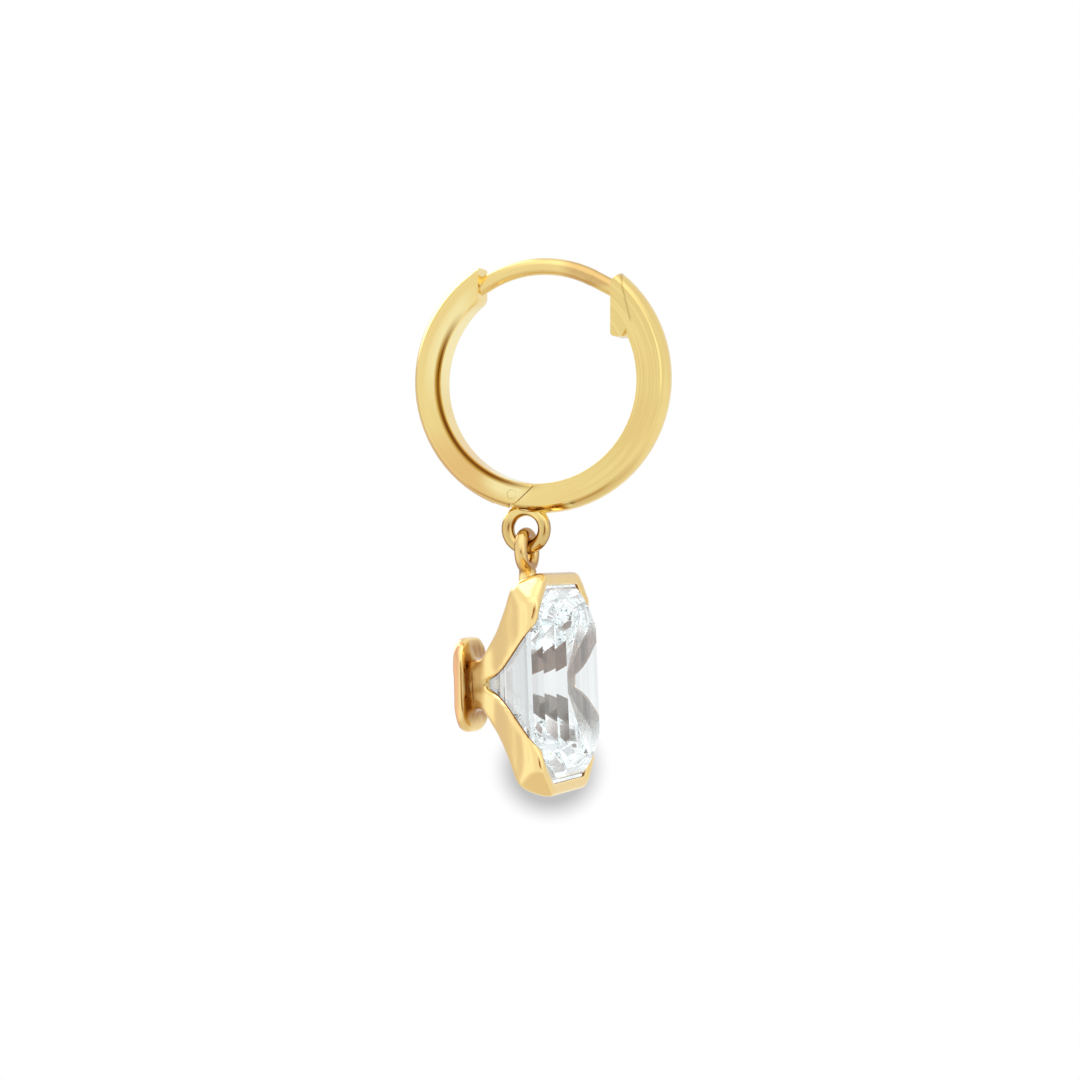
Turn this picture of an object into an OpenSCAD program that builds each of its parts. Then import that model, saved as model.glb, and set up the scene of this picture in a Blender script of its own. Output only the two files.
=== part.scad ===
// Hinged hoop earring with a step cut stone hanging under it.
// X points to the front of the ear, Y runs across the band and Z points up.
// The origin lies on the centre line of the ear wire, at its top.

/* [Band] */
// Outside diameter of the hoop over the dome of its band
hoop_outer_d = 12.7; // [12.2:0.1:14]
// Thickness of the band, dome included
band_t = 1.5; // [1.3:0.05:1.7]
// Width of the band from face to face
band_w = 1.5; // [1.4:0.1:2.6]
// Height of the dome round the outside of the band
band_dome = 0.36; // [0.2:0.02:0.5]
// How far the outside circle lies above the inside one
band_rise = 0.1; // [0:0.02:0.16]
// Angle of the back arm's end, from the front and upwards
arm_end_angle = 122.5; // [112:0.5:126]
// Lean of the back arm's end from the radius
arm_end_lean = 32; // [0:1:36]
// Depth to which the sharp tip of the back arm is cut level
arm_tip_cut = 0.85; // [0.7:0.05:1]

/* [Ear wire] */
// Diameter of the ear wire
wire_d = 0.8; // [0.6:0.05:0.9]
// Angle at which the wire's arc ends and its straight tip begins
wire_tip_angle = 62; // [60:0.5:66]
// How far the wire's tip goes into the catch
wire_reach = 0.6; // [0.4:0.05:0.8]
// Room round the wire's tip in the catch
catch_room = 0.12; // [0.08:0.01:0.2]

/* [Catch] */
// How far the catch's flat face stands inside the hoop's front
catch_in = 1.27; // [1:0.01:1.5]
// Size of the bevel at the catch's top
catch_bevel = 0.4; // [0.2:0.05:0.5]
// Height of the catch's heel above the hoop's middle
catch_heel_z = 2.05; // [1.8:0.05:2.4]
// Radius that rounds the corners of the catch
catch_round = 0.18; // [0.1:0.01:0.25]
// Width of the notch between the heel and the band
notch_w = 0.28; // [0.15:0.01:0.35]
// Height of that notch
notch_h = 0.36; // [0.2:0.02:0.45]

/* [Hinge] */
// Depth of the hinge pin's centre under the outside of the band
hinge_depth = 0.85; // [0.75:0.05:0.95]
// Angle of the hinge pin behind the lowest point
hinge_angle = 13.5; // [12:0.5:17]
// Slope of the seam across the band
seam_slope = 43; // [38:1:48]
// Diameter of the hinge pin
pin_d = 0.42; // [0.34:0.02:0.46]
// Diameter of the hinge knuckles
knuckle_d = 0.86; // [0.8:0.02:0.92]
// Width of the middle knuckle
tongue_w = 0.62; // [0.5:0.02:0.7]
// Gap between parts that move past each other
run_gap = 0.04; // [0.03:0.01:0.06]
// Gap round the pin where the outer knuckles hold it
pin_fit = 0.01; // [0.01:0.01:0.02]
// Gap between the pin and the knuckle that turns on it
pin_gap = 0.02; // [0.01:0.01:0.04]
// Angle through which the front half opens
open_angle = 30; // [20:1:32]

/* [Hanging ring] */
// Mean radius of the ring under the hoop
ring_r = 0.91; // [0.86:0.01:1.05]
// Wire diameter of that ring
ring_wire_d = 0.62; // [0.5:0.02:0.64]
// Place of the ring in front of the hoop's middle
ring_x = -0.78; // [-0.9:0.02:-0.4]
// Depth to which the ring is let into the band
ring_sunk = 0.44; // [0.35:0.01:0.5]

/* [Charm] */
// Mean radius of the loop on the charm
loop_r = 0.82; // [0.78:0.01:0.95]
// Wire diameter of that loop
loop_wire_d = 0.64; // [0.5:0.02:0.66]
// Width of the loop's foot on the setting
foot_d = 1.1; // [0.8:0.05:1.3]
// Depth of that foot's underside below the setting's top
foot_in = 1; // [0.8:0.05:1.3]
// Gap between the loop and the ring it hangs on
hang_gap = 0.04; // [0.02:0.01:0.06]
// Distance of the loop in front of the stone's point
loop_x = 2.2; // [2:0.05:3]
// Height of the loop's top wire above the stone's point
loop_top_z = 7.12; // [6.9:0.05:7.4]
// Turn of the hanging charm to the viewer's side
charm_turn = 3.5; // [0:0.5:12]
// Lean of the hanging charm, its foot to the front
charm_lean = 2.2; // [0:0.1:5]

/* [Stone] */
// Length of the stone
stone_l = 9.5; // [8.8:0.1:9.8]
// Width of the stone
stone_w = 6.9; // [6.4:0.1:7.4]
// Height of the stone's upper part, over the girdle
crown_h = 1.25; // [1:0.05:1.5]
// Thickness of the girdle
girdle_h = 0.15; // [0.1:0.01:0.25]
// Depth of the stone's lower part, under the girdle
pavilion_h = 3.4; // [3:0.05:3.7]
// Length of the keel at the stone's point
keel_l = 0.7; // [0.4:0.05:1]
// Length taken off each edge by a cut corner
corner_cut = 1.3; // [1:0.05:1.5]

/* [Setting] */
// Thickness of the wall over each end of the stone
wall_t = 0.51; // [0.45:0.02:0.9]
// Distance of the setting's front rim from the stone's point
rim_x = 4.05; // [3.9:0.05:4.5]
// Thickness of the wall beside the stone's long sides
side_t = 0.24; // [0.2:0.02:0.4]
// How far the wall's lip reaches in over the stone's edge
lip_in = 0.14; // [0.06:0.02:0.24]
// Width of the neck behind the stone
neck_w = 1.8; // [1.4:0.1:2.2]
// Height of that neck
neck_h = 2.3; // [1.8:0.1:2.6]
// Distance of the back plate's inner face behind the stone's point
plate_back = 0.6; // [0.45:0.05:0.8]
// Thickness of the back plate
plate_t = 0.64; // [0.5:0.02:0.9]
// Width of the back plate
plate_w = 3.3; // [2.8:0.1:4]
// Height of the back plate
plate_h = 4.6; // [4:0.1:5.2]
// Corner radius of the back plate
plate_round = 1.2; // [0.8:0.05:1.4]
// Gap between the stone and the metal
stone_gap = 0.02; // [0.01:0.01:0.04]

/* [Hidden] */
$fn = 96;
over = 1;
reach = 9;
peak_r = hoop_outer_d / 2;
inner_r = peak_r - band_t;
edge_r = peak_r - band_dome;
dome_r = (pow(band_w / 2, 2) + pow(band_dome, 2)) / (2 * band_dome);
wire_r = (inner_r + peak_r) / 2 - band_rise;
tip_r = 0.485 * wire_d;
slot_w = max(tongue_w, ring_wire_d) + 2 * run_gap;
hinge = polar(peak_r - hinge_depth, -90 - hinge_angle);
catch_x = inner_r - catch_in;
arm_end = polar(wire_r, arm_end_angle);
catch_top_z = band_rise + sqrt(pow(peak_r, 2) - pow(catch_x + catch_bevel, 2)) - catch_bevel;
knuckle_r = knuckle_d / 2;
seam_turn = seam_slope - 90;
lip_angle = seam_turn - 28;
rear_lip_angle = lip_angle - open_angle - 4;
ring_wire_r = ring_wire_d / 2;
loop_wire_r = loop_wire_d / 2;
ring_z = band_rise - sqrt(pow(peak_r, 2) - pow(ring_x, 2)) + ring_sunk - ring_r - ring_wire_r;
pivot_z = ring_z - ring_r + ring_wire_r + loop_wire_r + hang_gap;
stone_h = pavilion_h + girdle_h + crown_h;
cap_z = stone_l / 2 + wall_t;
bezel_w = stone_w + 2 * side_t;
cap_cut = corner_cut - 0.414 * wall_t + side_t;

// Each row of the stone gives the share of the lower or upper part's height,
// and the shares of the half width, half length and corner cut at that height.
PAVILION = [[0.33, 0.39, 0.39, 0.38], [0.53, 0.585, 0.58, 0.57], [0.75, 0.785, 0.78, 0.78], [1, 1, 1, 1]];
CROWN = [[0, 1, 1, 1], [0.36, 0.9, 0.925, 0.9], [0.7, 0.77, 0.83, 0.78], [1, 0.62, 0.71, 0.62]];
// Outer edge of a half bezel in side view, as shares of rim_x and cap_z.
BEZEL_OUT = [[-0.05, 0.2], [0.03, 0.275], [0.15, 0.39], [0.275, 0.5], [0.39, 0.62], [0.485, 0.74],
    [0.53, 0.81], [0.59, 0.88], [0.68, 0.94], [0.8, 0.98], [0.91, 1], [0.98, 0.985], [1, 0.94]];
// Inner edge of a half bezel, in the same shares, from the rim to the neck.
BEZEL_IN = [[1, 0.665], [0.975, 0.6], [0.91, 0.52], [0.82, 0.445], [0.71, 0.37], [0.61, 0.3],
    [0.5, 0.225], [0.38, 0.15], [0.25, 0.09], [0.12, 0.05], [0.02, 0.03]];
// Half width of a half bezel from behind, as shares of rim_x and of half bezel_w.
BEZEL_HALF = [[-0.02, 0.25], [0.1, 0.31], [0.22, 0.4], [0.36, 0.555], [0.5, 0.7], [0.61, 0.8], [0.72, 0.91],
    [0.82, 0.985], [0.9, 1], [1, 0.985]];

function polar(r, a) = [r * cos(a), r * sin(a)];

// A smooth line through the given points.
function curve(p) = concat([for (i = [0:len(p) - 2]) for (t = [0, 0.25, 0.5, 0.75])
    let (a = p[max(i - 1, 0)], b = p[i], c = p[i + 1], d = p[min(i + 2, len(p) - 1)])
    b + ((c - a) * t + (2 * a - 5 * b + 4 * c - d) * t * t + (3 * b - a - 3 * c + d) * t * t * t) / 2],
    [p[len(p) - 1]]);

// A flat shape in X and Z, drawn through the band's width.
module across(width) {
    rotate([90, 0, 0]) linear_extrude(height = width, center = true) children();
}

// A round bar along Y.
module bar(at, r, width) {
    translate([at[0], 0, at[1]]) rotate([90, 0, 0]) cylinder(r = r, h = width, center = true);
}

// A wedge with its point at the given place, between two angles.
module wedge(at, from, to) {
    polygon([at, at + polar(reach, from), at + polar(reach, (from + to) / 2), at + polar(reach, to)]);
}

// The full disc inside the domed outside of the band.
module outside() {
    translate([0, 0, band_rise]) rotate([90, 0, 0]) rotate_extrude() {
        translate([0, -band_w / 2]) square([edge_r, band_w]);
        intersection() {
            translate([peak_r - dome_r, 0]) circle(r = dome_r);
            translate([0, -band_w / 2]) square([peak_r + over, band_w]);
        }
    }
}

module band() {
    difference() {
        outside();
        bar([0, 0], inner_r, band_w + over);
    }
}

// Everything behind the seam, up to the end of the back arm.
module rear_side() {
    touch = hinge + polar(knuckle_r, seam_turn);
    along = polar(1, 180 + seam_slope);
    end_out = polar(1, arm_end_angle - arm_end_lean);
    tip_z = band_rise + sqrt(pow(peak_r, 2) - pow(arm_end[0], 2)) + band_dome / 2 - arm_tip_cut / 2;
    tip_out = (tip_z - arm_end[1]) / end_out[1];
    polygon([touch - along * 3, touch + along * reach, [-reach, -reach], [-reach, tip_z],
        arm_end + end_out * tip_out, arm_end - end_out * 2]);
}

// Everything in front of the seam.
module front_side() {
    touch = hinge + polar(knuckle_r + run_gap, seam_turn);
    along = polar(1, 180 + seam_slope);
    polygon([touch - along * 3, touch + along * reach, [reach, -reach], [reach, reach],
        [catch_x + 8 * catch_bevel, catch_top_z + 8 * catch_bevel], [catch_x, catch_top_z], [catch_x, 0]]);
}

module catch_block() {
    offset(r = catch_round) offset(delta = -catch_round)
        polygon([[catch_x, catch_heel_z], [inner_r + 0.2, catch_heel_z], [peak_r, 0], [reach, reach],
            [catch_x + 8 * catch_bevel, catch_top_z + 8 * catch_bevel], [catch_x, catch_top_z]]);
}

module ear_wire() {
    tip = polar(wire_r, wire_tip_angle);
    lead = (catch_x + wire_reach - tip[0]) / sin(wire_tip_angle);
    rotate([90, 0, 0]) rotate([0, 0, wire_tip_angle])
        rotate_extrude(angle = arm_end_angle + 8 - wire_tip_angle) translate([wire_r, 0]) circle(d = wire_d);
    translate([tip[0], 0, tip[1]]) rotate([0, 90 + 90 - wire_tip_angle, 0]) {
        translate([0, 0, -wire_d / 4]) cylinder(r = tip_r, h = lead + wire_d / 4);
        translate([0, 0, lead]) sphere(r = tip_r);
    }
}

// The back arm of the hoop with the ear wire soldered into its end.
module wire_half() {
    color("gold") translate([0, 0, -wire_r]) {
        difference() {
            union() {
                difference() {
                    intersection() {
                        band();
                        across(band_w + over) rear_side();
                    }
                    across(band_w + over) wedge(hinge, seam_turn, rear_lip_angle);
                }
                intersection() {
                    outside();
                    bar(hinge, knuckle_r, band_w);
                }
            }
            bar(hinge, knuckle_r + run_gap, slot_w);
            across(slot_w) wedge(hinge, seam_turn + 60, seam_turn - 112);
            bar(hinge, pin_d / 2 + pin_fit, band_w + over);
        }
        ear_wire();
    }
}

// The front half of the hoop, with the catch and the hanging ring soldered on.
module catch_half() {
    heel = [inner_r * cos(asin(catch_heel_z / inner_r)), catch_heel_z];
    tip = polar(wire_r, wire_tip_angle);
    lead = (catch_x + wire_reach - tip[0]) / sin(wire_tip_angle);
    color("gold") translate([0, 0, -wire_r]) {
        difference() {
            union() {
                difference() {
                    intersection() {
                        band();
                        across(band_w + over) front_side();
                    }
                    bar(hinge, knuckle_r + run_gap, band_w + over);
                    across(band_w + over) wedge(hinge, lip_angle, lip_angle - 150);
                }
                intersection() {
                    outside();
                    across(band_w) catch_block();
                }
                intersection() {
                    outside();
                    bar(hinge, knuckle_r, tongue_w);
                }
                intersection() {
                    outside();
                    across(tongue_w) polygon([hinge, hinge + polar(2 * knuckle_r, seam_turn + 50),
                        hinge + polar(2 * knuckle_r, seam_turn), hinge + polar(knuckle_r, lip_angle)]);
                }
                translate([ring_x, 0, ring_z]) rotate([90, 0, 0])
                    rotate_extrude() translate([ring_r, 0]) circle(r = ring_wire_r);
            }
            bar(hinge, pin_d / 2 + pin_gap, band_w + over);
            across(band_w + over) polygon([heel - [notch_w * 0.9, over], heel + [notch_w * 0.1, -over],
                heel + [notch_w * 0.1, 0], heel + [-notch_w * 0.2, notch_h], heel - [notch_w * 0.9, 0]]);
            translate([tip[0], 0, tip[1]]) rotate([0, 90 + 90 - wire_tip_angle, 0]) {
                cylinder(r = wire_d / 2 + catch_room, h = lead);
                translate([0, 0, lead]) sphere(r = wire_d / 2 + catch_room);
            }
        }
    }
}

module hinge_pin() {
    color("goldenrod") translate([0, 0, -wire_r]) bar(hinge, pin_d / 2, band_w - run_gap);
}

// Puts what is drawn round the stone's point where the charm hangs.
module hung() {
    translate([ring_x, 0, pivot_z - wire_r]) rotate([0, 0, -charm_turn]) rotate([0, -charm_lean, 0])
        translate([-loop_x, 0, -loop_top_z]) children();
}

// The eight corners of the stone at one height, grown by a margin.
function level(x, half_w, half_l, cut, grow) = let (w = half_w + grow, l = half_l + grow, c = cut + 0.586 * grow) [
    [x, w, l - c], [x, w - c, l], [x, -w + c, l], [x, -w, l - c],
    [x, -w, -l + c], [x, -w + c, -l], [x, w - c, -l], [x, w, -l + c]];

function stone_levels(grow) = concat(
    [level(-grow, 0.02, keel_l / 2, 0.015, grow)],
    [for (row = PAVILION) level(row[0] * pavilion_h, row[1] * stone_w / 2, keel_l / 2 +
        row[2] * (stone_l - keel_l) / 2, row[3] * corner_cut, grow)],
    [for (row = CROWN) level(pavilion_h + girdle_h + row[0] * crown_h, row[1] * stone_w / 2,
        row[2] * stone_l / 2, row[3] * corner_cut, grow)]);

module cut_stone(grow) {
    rings = stone_levels(grow);
    count = len(rings);
    polyhedron(
        points = [for (ring = rings) for (p = ring) p],
        faces = concat([[for (i = [0:7]) i]],
            [for (k = [0:count - 2]) for (i = [0:7]) [8 * k + i, 8 * (k + 1) + i, 8 * (k + 1) + (i + 1) % 8,
                8 * k + (i + 1) % 8]],
            [[for (i = [7:-1:0]) 8 * (count - 1) + i]]));
}

module stone() {
    color("aliceblue") hung() cut_stone(0);
}

// One half bezel: its side view drawn across, held to its width from behind and from the front.
module half_bezel() {
    half = bezel_w / 2;
    side = curve(BEZEL_HALF);
    intersection() {
        across(bezel_w + over) polygon([for (p = concat([[-0.1, 0.18]], curve(BEZEL_OUT), curve(BEZEL_IN),
            [[-0.02, -0.03], [-0.1, -0.03]])) [p[0] * rim_x, p[1] * cap_z]]);
        translate([0, 0, -over]) linear_extrude(height = cap_z + 2 * over) polygon(concat(
            [[-over, -side[0][1] * half]],
            [for (p = side) [p[0] * rim_x, -p[1] * half]],
            [for (i = [len(side) - 1:-1:0]) [side[i][0] * rim_x, side[i][1] * half]],
            [[-over, side[0][1] * half]]));
        along_stone(-over, rim_x + over) polygon([[half + over, -over], [half + over, cap_z - cap_cut - over],
            [half - cap_cut - over, cap_z + over], [cap_cut + over - half, cap_z + over],
            [-half - over, cap_z - cap_cut - over], [-half - over, -over]]);
    }
}

// A flat shape in Y and Z, drawn along the stone's depth.
module along_stone(from, to) {
    translate([from, 0, 0]) rotate([90, 0, 90]) linear_extrude(height = to - from) children();
}

// The opening in front of the stone's edge, smaller than it by the lip.
module lip_opening() {
    w = stone_w / 2 - lip_in;
    l = stone_l / 2 - lip_in;
    c = corner_cut - 0.586 * lip_in;
    along_stone(pavilion_h + girdle_h, rim_x + over) polygon([[w, l - c], [w - c, l], [c - w, l], [-w, l - c],
        [-w, c - l], [c - w, -l], [w - c, -l], [w, c - l]]);
}

// The back plate and the neck that joins it to the half bezels.
module back_plate() {
    translate([-plate_back - plate_t, 0, 0]) rotate([90, 0, 90]) linear_extrude(height = plate_t)
        offset(r = plate_round) square([plate_w - 2 * plate_round, plate_h - 2 * plate_round], center = true);
    translate([-plate_back - 0.1, -neck_w / 2, -neck_h / 2]) cube([plate_back + 0.1 + 0.25, neck_w, neck_h]);
}

module loop() {
    foot_top = loop_top_z - 2 * loop_r - loop_wire_r + 0.2;
    foot_z = cap_z - foot_in;
    translate([loop_x, 0, loop_top_z - loop_r]) rotate([0, 90, 0])
        rotate_extrude() translate([loop_r, 0]) circle(r = loop_wire_r);
    translate([loop_x, 0, foot_z]) cylinder(r1 = foot_d / 2, r2 = 0.4 * foot_d, h = foot_top - foot_z);
}

// The cast setting: loop, two half bezels, neck and back plate in one piece.
module setting() {
    color("goldenrod") hung() difference() {
        union() {
            half_bezel();
            mirror([0, 0, 1]) half_bezel();
            back_plate();
            loop();
        }
        cut_stone(stone_gap);
        lip_opening();
    }
}

wire_half();
catch_half();
hinge_pin();
setting();
stone();
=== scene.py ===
import math

import bmesh
import bpy
from mathutils import Matrix, Vector
from mathutils.bvhtree import BVHTree


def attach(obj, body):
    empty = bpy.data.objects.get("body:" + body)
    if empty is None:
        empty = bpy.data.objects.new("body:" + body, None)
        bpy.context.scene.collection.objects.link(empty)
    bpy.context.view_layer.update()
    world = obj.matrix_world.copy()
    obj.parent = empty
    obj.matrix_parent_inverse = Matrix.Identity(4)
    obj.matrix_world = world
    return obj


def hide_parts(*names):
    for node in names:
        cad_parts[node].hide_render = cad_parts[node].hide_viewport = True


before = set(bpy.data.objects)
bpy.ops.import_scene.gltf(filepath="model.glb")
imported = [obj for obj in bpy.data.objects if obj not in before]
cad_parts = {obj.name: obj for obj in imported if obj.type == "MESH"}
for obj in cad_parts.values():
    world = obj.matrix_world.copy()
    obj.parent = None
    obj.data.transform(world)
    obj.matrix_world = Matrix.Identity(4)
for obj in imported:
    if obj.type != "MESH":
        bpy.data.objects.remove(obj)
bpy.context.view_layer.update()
print("frame loaded")


# Shader helpers. A value is a number, a colour or the socket that gives it.
def emptyTree(owner):
    owner.use_nodes = True
    owner.node_tree.nodes.clear()
    return owner.node_tree


def addNode(tree, kind, values=None, **settings):
    node = tree.nodes.new("ShaderNode" + kind)
    for name, setting in settings.items():
        setattr(node, name, setting)
    for name, value in (values or {}).items():
        if isinstance(value, bpy.types.NodeSocket):
            tree.links.new(value, node.inputs[name])
        else:
            node.inputs[name].default_value = value
    return node


def mathNode(tree, operation, *values):
    return addNode(tree, "Math", dict(enumerate(values)), operation=operation).outputs[0]


def times(tree, product, *others):
    for other in others:
        product = mathNode(tree, "MULTIPLY", product, other)
    return product


def ramp(tree, value, low, high, atLow=0.0, atHigh=1.0, shape="SMOOTHSTEP"):
    values = {"Value": value, "From Min": low, "From Max": high, "To Min": atLow, "To Max": atHigh}
    return addNode(tree, "MapRange", values, interpolation_type=shape).outputs["Result"]


def area(tree, measures, ramps):
    # The product of soft ramps, each over one measure of the place
    return times(tree, *[ramp(tree, measures[name], *numbers) for name, *numbers in ramps])


def mixColor(tree, share, first, second):
    return addNode(tree, "Mix", {0: share, 6: first, 7: second}, data_type="RGBA").outputs[2]


def dotWith(tree, vector, direction):
    node = addNode(tree, "VectorMath", {0: vector, 1: direction}, operation="DOT_PRODUCT")
    return node.outputs["Value"]


def noise(tree, vector, scale, detail=1.0):
    values = {"Vector": vector, "Scale": scale, "Detail": detail}
    return addNode(tree, "TexNoise", values).outputs["Fac"]


def channels(tree, sockets):
    return addNode(tree, "CombineColor", dict(enumerate(sockets))).outputs[0]


# White behind the object, and a plain studio that only the reflections see.
# A patch of light or shade: its direction, the angles where it is full and gone, and its strength.
studioValues = {
    "tentLevel": 0.95,
    "tentLamps": [((0.2, -0.5, 0.9), 15, 50, 0.45), ((0.9, -0.55, 0.25), 8, 24, 0.35),
                  ((-0.7, 0.45, 0.55), 8, 28, 2.2), ((-0.85, -0.35, -0.2), 15, 45, 0.15),
                  ((-0.46, 0.07, 0.89), 3, 12, 1.4)],
    "tentGaps": [((0.55, -0.83, -0.05), 5, 22, 0.35), ((-0.75, 0.65, -0.1), 10, 40, 0.26),
                 ((0.29, -0.96, -0.05), 4, 11, 0.85), ((0.0, 0.1, -1.0), 20, 60, 0.22)],
    "gapTint": (0.7, 1.0, 1.25),  # how much red, green and blue a gap takes away
    "tentDarkest": 0.02,
    "stoneNoise": {"scale": 2.6, "from": 0.38, "to": 0.6, "low": 0.60, "high": 0.96},
    "stonePatches": [((0.3, -0.95, 0.0), 12, 30, -0.35), ((0.2, 0.9, 0.5), 10, 30, -0.3),
                     ((0.0, -0.4, 1.0), 8, 40, 0.6), ((0.0, -0.4, -1.0), 8, 40, 0.6)],
    "stoneTint": (0.965, 0.99, 1.0),
}
world = bpy.data.worlds.new("studio")
bpy.context.scene.world = world
sky = emptyTree(world)
skyDirection = addNode(sky, "TexCoord").outputs["Generated"]


def withPatches(level, shadePatches):
    for direction, full, gone, strength in shadePatches:
        cosine = dotWith(sky, skyDirection, Vector(direction).normalized())
        patch = ramp(sky, cosine, math.cos(math.radians(gone)), math.cos(math.radians(full)),
                     0.0, strength)
        level = mathNode(sky, "ADD", level, patch)
    return level


# The metal sees a white tent with a few lights and warm dark gaps.
tentLamps = withPatches(studioValues["tentLevel"], studioValues["tentLamps"])
tentGaps = withPatches(0.0, studioValues["tentGaps"])
tentLevels = [mathNode(sky, "MULTIPLY_ADD", tentGaps, -share, tentLamps)
              for share in studioValues["gapTint"]]
tentColor = channels(sky, [mathNode(sky, "MAXIMUM", level, studioValues["tentDarkest"])
                           for level in tentLevels])

# The stone sees a cooler and uneven room, so that its facets differ.
uneven = studioValues["stoneNoise"]
unevenLevel = ramp(sky, noise(sky, skyDirection, uneven["scale"]), uneven["from"],
                   uneven["to"], uneven["low"], uneven["high"], "LINEAR")
stoneLevel = withPatches(unevenLevel, studioValues["stonePatches"])
stoneColor = channels(sky, [times(sky, stoneLevel, share) for share in studioValues["stoneTint"]])

skyRays = addNode(sky, "LightPath").outputs
roomColor = mixColor(sky, skyRays["Is Transmission Ray"], tentColor, stoneColor)
room = addNode(sky, "Background", {"Color": roomColor, "Strength": 1.0})
white = addNode(sky, "Background", {"Color": (1, 1, 1, 1), "Strength": 1.0})
whole = addNode(sky, "MixShader", {0: skyRays["Is Camera Ray"], 1: room.outputs[0],
                                   2: white.outputs[0]})
addNode(sky, "OutputWorld", {"Surface": whole.outputs[0]})
print("studio ready")

# Faces turned this way or the opposite way stay bright on the ring and loop, and faces turned aside
# take painted shade.
frontDirection = (0.2924, -0.9563, 0.0)


def placeMeasures(tree):
    place = addNode(tree, "TexCoord").outputs
    axes = addNode(tree, "SeparateXYZ", {0: place["Object"]}).outputs
    towards = mathNode(tree, "ABSOLUTE", dotWith(tree, place["Normal"], frontDirection))
    measures = {"x": axes["X"], "y": axes["Y"], "z": axes["Z"],
                "aside": mathNode(tree, "SUBTRACT", 1.0, towards)}
    return place, measures


def paint(tree, values, areas):
    # The tones go on in their order, each over its own area
    tone = values["color"]
    for name, share, color in values["tones"]:
        tone = mixColor(tree, times(tree, areas[name], share), tone, values[color])
    return tone


# Gold of the hoop, with painted highlights and painted shade. Lengths are in metres. "up" and
# "radius" are from the hoop's centre. Each area lists a measure, where its ramp begins and ends,
# and the ramp's levels if they aren't 0 and 1.
hoopValues = {
    # The warm, amber, brown and dark tones are painted shade, and cream is the tone of painted
    # highlights.
    "color": (0.90, 0.712, 0.287, 1), "shadeWarm": (0.90, 0.63, 0.26, 1), "cream": (0.97, 0.84, 0.42, 1),
    "shadeAmber": (0.50, 0.25, 0.02, 1), "shadeBrown": (0.30, 0.14, 0.03, 1), "shadeDark": (0.17, 0.055, 0.010, 1),
    "roughness": 0.12,
    "centreZ": -0.0055,
    "lean": 0.45,  # tips the line between the hoop's back and front
    "rimRadius": 0.00601,
    "catchX": 0.00397, "catchUp": 0.00515, "catchNormal": (0.971, 0.239),  # a line of painted shade on the catch
    "lineScale": 7000.0, "lineTurn": 0.9, "lineDetail": 3.0,  # painted streaks of shade round the band, on its right side
    "patchScale": 420.0,
    "areas": {
        # Random patches of warmer painted shade.
        "shadePatches": [("shadePatches", 0.4, 0.62)],
        # Painted warmer, amber shade on the lower back of the band.
        "lowBackShade": [("up", -0.0018, -0.0042), ("x", -0.001, -0.0035)],
        # Painted cream highlights on the band's face, one at the back and one low down.
        "highlightHigh": [("radius", 0.0058, 0.0053), ("up", -0.0018, 0.0012), ("x", -0.0028, -0.004)],
        "highlightLow": [("x", -0.0031, -0.0019), ("x", -0.0002, -0.0011), ("up", -0.0040, -0.0046),
                     ("radius", 0.0059, 0.0054)],
        # A band of painted amber shade and a dark line of painted shade along the inner edge at the
        # band's back.
        "innerShadeBand": [("radius", 0.00522, 0.00506), ("radius", 0.00486, 0.00491),
                      ("back", -0.0018, -0.0046), ("y", -0.00055, -0.00068)],
        "innerShadeLine": [("radius", 0.00508, 0.00502), ("radius", 0.00489, 0.00494),
                      ("back", -0.0018, -0.0046), ("y", -0.0005, -0.0006),
                      ("up", 0.0008, -0.0022, 0.45, 1.0)],
        # A line of painted amber shade where the face meets the dome, low on the band.
        "rim": [("fromRim", 0.00008, 0.00002), ("up", -0.0046, -0.0053, 0.0, 0.6)],
        # A line of painted brown shade along the crease on the catch.
        "catchShadeLine": [("fromCatch", 0.00007, 0.00002), ("up", 0.0026, 0.0029), ("x", 0.002, 0.003)],
        # Painted amber streaks of shade on the band's right side.
        "streakShade": [("x", 0.001, 0.0042, 0.25, 1.0), ("lines", 0.62, 0.42)],
        # Painted shade, warmer and browner, on the wire at the top.
        "wire": [("up", 0.0043, 0.0046), ("x", 0.0008, 0.0018), ("x", 0.0036, 0.0034)],
        # Painted brown shade on the sides of the ring.
        "ring": [("up", -0.0064, -0.0067), ("aside", 0.18, 0.72, 0.28, 1.0)],
    },
    "tones": [("shadePatches", 0.3, "shadeWarm"), ("lowBackShade", 1.0, "shadeWarm"), ("lowBackShade", 0.2, "shadeAmber"),
              ("highlightHigh", 1.0, "cream"), ("highlightLow", 1.0, "cream"),
              ("innerShadeBand", 1.0, "shadeAmber"), ("rim", 1.0, "shadeAmber"), ("innerShadeLine", 1.0, "shadeDark"),
              ("catchShadeLine", 0.35, "shadeBrown"), ("streakShade", 0.17, "shadeAmber"),
              ("wire", 0.85, "shadeWarm"), ("wire", 0.34, "shadeBrown"), ("ring", 1.0, "shadeBrown")],
}
hoopGold = bpy.data.materials.new("hoopGold")
tree = emptyTree(hoopGold)
place, measures = placeMeasures(tree)
across = measures["x"]
up = mathNode(tree, "SUBTRACT", measures["z"], hoopValues["centreZ"])
squares = mathNode(tree, "ADD", times(tree, across, across), times(tree, up, up))
radius = mathNode(tree, "POWER", squares, 0.5)
angle = mathNode(tree, "ARCTAN2", up, across)
catchOffsets = [times(tree, mathNode(tree, "SUBTRACT", value, hoopValues[start]), share)
                for value, start, share in zip((across, up), ("catchX", "catchUp"),
                                               hoopValues["catchNormal"])]
linePlace = addNode(tree, "CombineXYZ", {0: times(tree, radius, hoopValues["lineScale"]),
                                         1: times(tree, angle, hoopValues["lineTurn"])})
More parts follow.
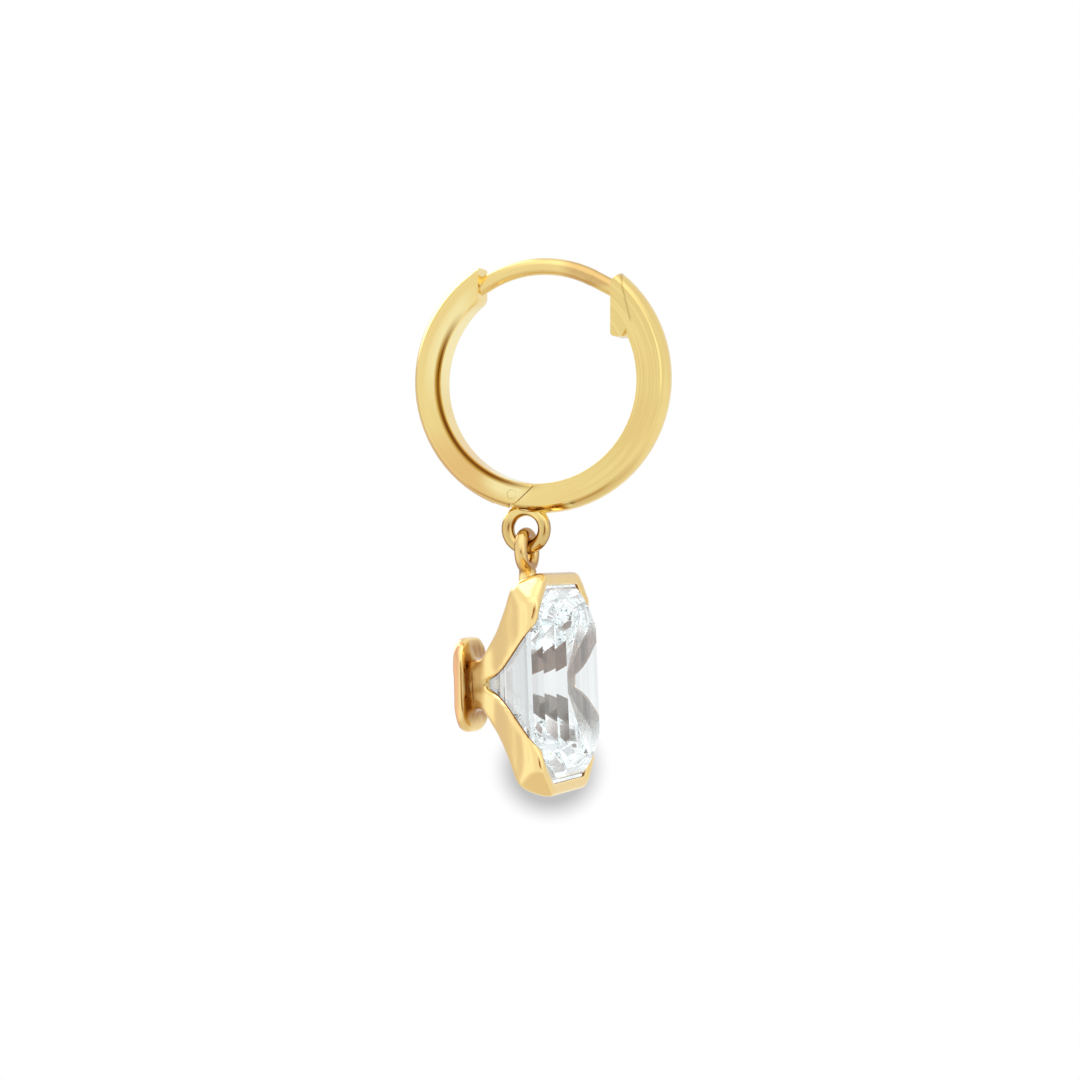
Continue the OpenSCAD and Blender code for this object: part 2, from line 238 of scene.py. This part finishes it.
measures |= {
    "up": up,
    "radius": radius,
    "back": mathNode(tree, "ADD", across, times(tree, up, hoopValues["lean"])),
    "fromRim": mathNode(tree, "ABSOLUTE",
                        mathNode(tree, "SUBTRACT", radius, hoopValues["rimRadius"])),
    "fromCatch": mathNode(tree, "ABSOLUTE", mathNode(tree, "ADD", *catchOffsets)),
    "lines": noise(tree, linePlace.outputs[0], 1.0, hoopValues["lineDetail"]),
    "shadePatches": noise(tree, place["Object"], hoopValues["patchScale"]),
}
areas = {name: area(tree, measures, ramps) for name, ramps in hoopValues["areas"].items()}
shader = addNode(tree, "BsdfPrincipled", {"Base Color": paint(tree, hoopValues, areas),
                                          "Metallic": 1.0, "Roughness": hoopValues["roughness"]})
addNode(tree, "OutputMaterial", {"Surface": shader.outputs[0]})

# Gold of the charm, with painted shade at the neck, on its edges and where it holds the stone, and
# painted light under the stone's ends. "seat" is the distance from the stone in millimetres, and
# "fromMiddle" is the height above or below the stone's middle.
charmValues = {
    # The brown, dark and plate tones are painted shade.
    "color": (0.98, 0.75, 0.33, 1), "shadeBrown": (0.40, 0.19, 0.04, 1), "shadeDark": (0.30, 0.11, 0.02, 1),
    "plate": (0.80, 0.45, 0.24, 1),
    # Painted shade and light for the seat under the stone: dark above, grey below, near white under
    # its ends.
    "seatShadeHigh": (0.24, 0.12, 0.06, 1), "seatShadeLow": (0.31, 0.26, 0.22, 1),
    "seatLightEnds": (0.93, 0.93, 0.93, 1),
    "roughness": 0.13,
    "stoneZ": -0.0198,
    "waveScale": 1100.0, "waveHeight": 0.00002, "neckHeight": 0.00011,  # relief of the casting
    "greyed": 0.85,  # how far the gold seen through the stone takes the seat's painted shade and light in place of its colour
    "glow": 0.36,  # painted light: the seat glows under the stone's two ends
    "areas": {
        "upper": [("z", -0.0201, -0.0195)],
        "ends": [("fromMiddle", 0.0018, 0.0036)],
        # Painted brown shade on the sides of the loop.
        "loop": [("z", -0.0148, -0.0145), ("aside", 0.18, 0.72, 0.28, 1.0)],
        # Painted darker, peach shade on the sides of the back plate.
        "plateRimShade": [("x", -0.0036, -0.0038), ("turnedX", -0.992, -0.965)],
        # Painted brown shade on the front faces of the rims, stronger on the upper one.
        "front": [("turnedX", 0.8, 0.93), ("upper", 0.0, 1.0, 1.0, 1.8)],
        # Painted brown shade in the hollow of the neck between plate and arms, in uneven patches.
        "neck": [("x", -0.0024, -0.0029), ("x", -0.0036, -0.0034), ("fromMiddle", 0.0023, 0.0015)],
        "hollows": [("waves", 0.62, 0.42, 0.65, 1.0)],
        # Painted brown shade on the gold close to the stone.
        "seatEdgeShade": [("seat", 0.17, 0.10)],
        # A dark line of painted shade along the stone's border on the arms.
        "armEdgeShade": [("seat", 0.226, 0.165), ("turnedX", 0.7, 0.45), ("turnedY", 0.94, 0.8)],
        # The gold that touches the stone takes the seat's painted shade and light.
        "onSeat": [("seat", 0.08, 0.06)],
        "onPlate": [("x", -0.0030, -0.0032)],
    },
    "tones": [("loop", 1.0, "shadeBrown"), ("plateRimShade", 0.95, "plate"), ("front", 0.15, "shadeBrown"),
              ("neckShade", 1.0, "shadeBrown"), ("seatEdgeShade", 0.65, "shadeBrown"), ("armEdgeShade", 1.0, "shadeDark")],
}
charmGold = bpy.data.materials.new("charmGold")
tree = emptyTree(charmGold)
place, measures = placeMeasures(tree)
normal = addNode(tree, "SeparateXYZ", {0: place["Normal"]}).outputs
middle = mathNode(tree, "SUBTRACT", measures["z"], charmValues["stoneZ"])
measures |= {
    "fromMiddle": mathNode(tree, "ABSOLUTE", middle),
    "turnedX": normal["X"],
    "turnedY": mathNode(tree, "ABSOLUTE", normal["Y"]),
    "seat": addNode(tree, "Attribute", attribute_name="seat").outputs["Fac"],
    "waves": noise(tree, place["Object"], charmValues["waveScale"]),
}
areas = {}
for name, ramps in charmValues["areas"].items():
    areas[name] = area(tree, measures | areas, ramps)
# The neck's painted shade, in uneven patches.
areas["neckShade"] = times(tree, areas["neck"], areas["hollows"])
# The seat under the stone takes painted shade, and painted light under its ends.
seatShadeAndLight = mixColor(tree, areas["upper"], charmValues["seatShadeLow"], charmValues["seatShadeHigh"])
seatShadeAndLight = mixColor(tree, areas["ends"], seatShadeAndLight, charmValues["seatLightEnds"])
rays = addNode(tree, "LightPath").outputs
# Gold seen through the stone shows the seat's painted shade and light.
throughStone = times(tree, rays["Is Transmission Ray"], charmValues["greyed"])
seatShare = mathNode(tree, "MAXIMUM", areas["onSeat"], throughStone)
relief = ramp(tree, areas["neck"], 0.0, 1.0, charmValues["waveHeight"], charmValues["neckHeight"])
bump = addNode(tree, "Bump", {"Strength": 1.0, "Distance": relief, "Height": measures["waves"]})
# The seat under the stone's ends glows with painted light.
shader = addNode(tree, "BsdfPrincipled", {
    "Base Color": mixColor(tree, seatShare, paint(tree, charmValues, areas), seatShadeAndLight),
    "Metallic": 1.0, "Roughness": charmValues["roughness"], "Normal": bump.outputs["Normal"],
    "Emission Color": (1, 1, 1, 1),
    "Emission Strength": times(tree, areas["onSeat"], areas["ends"], charmValues["glow"])})
# The arms don't mirror the back plate.
unmirrored = times(tree, areas["onPlate"], rays["Is Glossy Ray"])
clear = addNode(tree, "BsdfTransparent")
both = addNode(tree, "MixShader", {0: unmirrored, 1: shader.outputs[0], 2: clear.outputs[0]})
addNode(tree, "OutputMaterial", {"Surface": both.outputs[0]})

stoneValues = {"color": (0.993, 0.999, 1.0, 1), "bending": 2.2}
clearStone = bpy.data.materials.new("clearStone")
tree = emptyTree(clearStone)
glass = addNode(tree, "BsdfGlass", {"Color": stoneValues["color"], "Roughness": 0.0,
                                    "IOR": stoneValues["bending"]})
addNode(tree, "OutputMaterial", {"Surface": glass.outputs[0]})
print("materials ready")


# Each half of the hoop is its CAD mesh with softened edges, most of all inside the band.
halfValues = {
    "softness": 0.00004, "segments": 2,
    "innerSoftness": 0.0002, "innerSegments": 4, "innerRadius": 0.00485, "innerSide": 0.00075,
    "reach": 0.00002,  # how near an inner edge's ends lie to that radius and side
    "sharpFrom": 30, "creaseFrom": 35,  # degrees
    "same": 1e-7, "flat": 0.05, "faceWeight": 80,
}


def foldedEdges(mesh, degrees):
    least = math.radians(degrees)
    return [edge for edge in mesh.edges
            if len(edge.link_faces) == 2 and edge.calc_face_angle() > least]


def soften(mesh, edges, width, segments):
    bmesh.ops.bevel(mesh, geom=edges, offset=width, offset_type="OFFSET", affect="EDGES",
                    segments=segments, profile=0.5, material=-1, clamp_overlap=True)


def onInnerEdge(corner):
    fromCentre = math.hypot(corner.x, corner.z - hoopValues["centreZ"])
    misses = (fromCentre - halfValues["innerRadius"], abs(corner.y) - halfValues["innerSide"])
    return all(abs(miss) < halfValues["reach"] for miss in misses)


def softHalf(nodeName, name, body):
    mesh = bmesh.new()
    mesh.from_mesh(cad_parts[nodeName].data)
    bmesh.ops.remove_doubles(mesh, verts=mesh.verts, dist=halfValues["same"])
    bmesh.ops.dissolve_limit(mesh, angle_limit=math.radians(halfValues["flat"]),
                             verts=mesh.verts, edges=mesh.edges)
    inner = [edge for edge in foldedEdges(mesh, halfValues["sharpFrom"])
             if all(onInnerEdge(vertex.co) for vertex in edge.verts)]
    soften(mesh, inner, halfValues["innerSoftness"], halfValues["innerSegments"])
    soften(mesh, foldedEdges(mesh, halfValues["sharpFrom"]), halfValues["softness"],
           halfValues["segments"])
    for face in mesh.faces:
        face.smooth = True
    for edge in foldedEdges(mesh, halfValues["creaseFrom"]):
        edge.smooth = False
    data = bpy.data.meshes.new(name)
    mesh.to_mesh(data)
    mesh.free()
    piece = bpy.data.objects.new(name, data)
    bpy.context.scene.collection.objects.link(piece)
    data.materials.append(hoopGold)
    weights = piece.modifiers.new("weights", "WEIGHTED_NORMAL")
    weights.keep_sharp = True
    weights.weight = halfValues["faceWeight"]
    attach(piece, body)
    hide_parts(nodeName)
    print(name, len(data.polygons), "faces")


softHalf("wire_half", "backHalf", "back_half")
softHalf("catch_half", "frontHalf", "front_half")

# The setting is its CAD mesh made again in small even faces, then smoothed as a casting is after
# polishing: lightly all over, and more on its outside.
castValues = {
    "grain": 0.00007, "passes": 6, "outsidePasses": 90, "factor": 0.5,
    "outsideFrom": 0.00012,  # distance from the stone where the outside begins
    "loopFrom": -0.0145,  # the loop, from here up, keeps its shape
}
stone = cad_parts["stone"]


def polishedCasting(nodeName, name, body):
    # The remesh works in millimetres
    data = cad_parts[nodeName].data.copy()
    data.transform(Matrix.Scale(1000, 4))
    block = bpy.data.objects.new(name + "Block", data)
    bpy.context.scene.collection.objects.link(block)
    remesh = block.modifiers.new("remesh", "REMESH")
    remesh.mode = "VOXEL"
    remesh.voxel_size = castValues["grain"] * 1000
    graph = bpy.context.evaluated_depsgraph_get()
    cast = bpy.data.meshes.new_from_object(block.evaluated_get(graph))
    cast.transform(Matrix.Scale(0.001, 4))
    bpy.data.objects.remove(block)
    cast.name = name
    for face in cast.polygons:
        face.use_smooth = True

    stoneFaces = BVHTree.FromPolygons([vertex.co for vertex in stone.data.vertices],
                                      [list(face.vertices) for face in stone.data.polygons])
    piece = bpy.data.objects.new(name, cast)
    distances = [stoneFaces.find_nearest(vertex.co)[3] for vertex in cast.vertices]
    seatLayer = cast.attributes.new("seat", "FLOAT", "POINT")
    seatLayer.data.foreach_set("value", [min(1.0, 1000 * distance) for distance in distances])
    outside = piece.vertex_groups.new(name="outside")
    for vertex, distance in zip(cast.vertices, distances):
        if vertex.co.z < castValues["loopFrom"]:
            weight = (distance - castValues["outsideFrom"]) / castValues["outsideFrom"]
            outside.add([vertex.index], min(1.0, max(0.0, weight)), "REPLACE")
    for passes, group in ((castValues["passes"], ""), (castValues["outsidePasses"], "outside")):
        smooth = piece.modifiers.new("smooth", "SMOOTH")
        smooth.factor = castValues["factor"]
        smooth.iterations = passes
        smooth.vertex_group = group
    bpy.context.scene.collection.objects.link(piece)
    cast.materials.clear()
    cast.materials.append(charmGold)
    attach(piece, body)
    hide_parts(nodeName)
    print(name, len(cast.polygons), "faces")


polishedCasting("setting", "castSetting", "charm")

# The pin and the stone are the CAD pieces themselves.
for piece, material in ((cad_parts["hinge_pin"], hoopGold), (stone, clearStone)):
    piece.data.materials.clear()
    piece.data.materials.append(material)
for face in stone.data.polygons:
    face.use_smooth = False
print("pin and stone dressed")

cameraValues = {"azimuth": 17.0, "distance": 0.12, "aim": (-0.00009, 0.0, -0.01302),
                "imageWidth": 1080, "pixelsPerMm": 21.0, "sensor": 36,
                "near": 0.001, "far": 10}
azimuth = math.radians(cameraValues["azimuth"])
aim = Vector(cameraValues["aim"])
back = Vector((math.sin(azimuth), -math.cos(azimuth), 0.0))
width = cameraValues["imageWidth"] / cameraValues["pixelsPerMm"] / 1000
cameraData = bpy.data.cameras.new("camera")
camera = bpy.data.objects.new("camera", cameraData)
bpy.context.scene.collection.objects.link(camera)
cameraData.sensor_width = cameraValues["sensor"]
cameraData.lens = cameraValues["sensor"] * cameraValues["distance"] / width
cameraData.clip_start = cameraValues["near"]
cameraData.clip_end = cameraValues["far"]
camera.location = aim + back * cameraValues["distance"]
camera.rotation_mode = "QUATERNION"
camera.rotation_quaternion = (-back).to_track_quat("-Z", "Y")
bpy.context.scene.camera = camera
print("camera placed")

# A soft shadow under the charm, as a card behind it that only darkens the white.
shadowValues = {
    "behind": 0.014, "right": 0.00053, "up": -0.01213,  # from the camera's aim
    "wide": 0.0033, "high": 0.0031,
    "full": 0.42, "gone": 1.02, "half": 1.1,  # as shares of wide and high
    "depth": 0.45, "darkest": 0.54,
}
rightward = (-back).cross(Vector((0, 0, 1))).normalized()
half = shadowValues["half"]
cardMesh = bpy.data.meshes.new("shadowCard")
cardMesh.from_pydata([(-half, 0, -half), (half, 0, -half), (half, 0, half), (-half, 0, half)],
                     [], [(0, 1, 2, 3)])
card = bpy.data.objects.new("shadowCard", cardMesh)
bpy.context.scene.collection.objects.link(card)
card.location = (aim - back * shadowValues["behind"] + rightward * shadowValues["right"]
                 + Vector((0, 0, shadowValues["up"])))
card.rotation_euler = (0, 0, azimuth)
card.scale = (shadowValues["wide"], 1, shadowValues["high"])
softShadow = bpy.data.materials.new("shadowCard")
tree = emptyTree(softShadow)
cardPlace = addNode(tree, "TexCoord").outputs["Object"]
fromMiddle = addNode(tree, "VectorMath", {0: cardPlace}, operation="LENGTH").outputs["Value"]
level = ramp(tree, fromMiddle, shadowValues["full"], shadowValues["gone"],
             shadowValues["depth"], 1.0)
level = mathNode(tree, "MAXIMUM", level, shadowValues["darkest"])
veil = addNode(tree, "BsdfTransparent", {"Color": channels(tree, [level] * 3)})
addNode(tree, "OutputMaterial", {"Surface": veil.outputs[0]})
cardMesh.materials.append(softShadow)
card.visible_glossy = False
card.visible_transmission = False
card.visible_diffuse = False
card.visible_shadow = False
print("shadow placed")

scene = bpy.context.scene
scene.view_settings.view_transform = "Standard"
scene.view_settings.look = "None"
scene.cycles.max_bounces = 64
scene.cycles.transmission_bounces = 48
scene.cycles.glossy_bounces = 48
scene.cycles.caustics_reflective = False
scene.cycles.caustics_refractive = True
